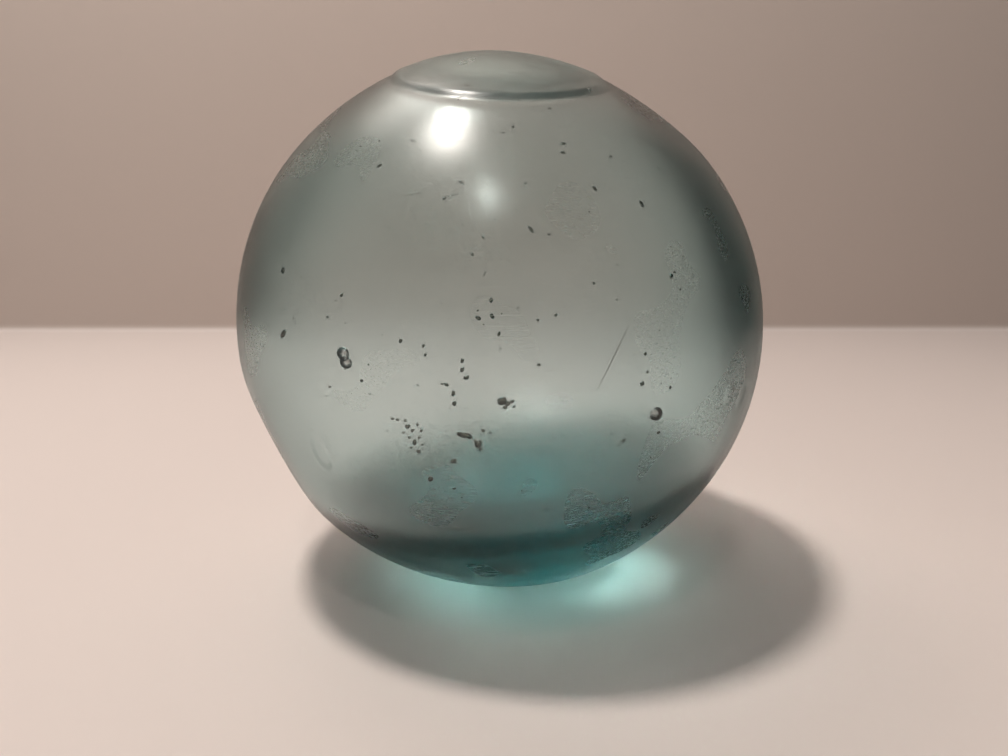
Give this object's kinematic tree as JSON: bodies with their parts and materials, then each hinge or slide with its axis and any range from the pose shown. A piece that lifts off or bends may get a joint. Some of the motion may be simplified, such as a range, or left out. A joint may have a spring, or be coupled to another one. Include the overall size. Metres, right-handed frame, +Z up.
{
  "type": "glass fishing float",
  "caption": "Hand-blown sea-green glass net float: a slightly uneven ball with a round seal button on top and a small flat spot to rest on.",
  "frame": {"origin": "middle of the small flat spot that the ball rests on", "axes": "+Z up, towards the seal button, which leans a little to the front; -Y is the front, the side the picture shows"},
  "size_m": [0.0901, 0.0899, 0.0905],
  "materials": {
    "glass": "clear pale sea green, glossy with fine wear, full of small bubbles"
  },
  "bodies": {
    "root": {"glass_float": "glass"}
  },
  "joints": []
}
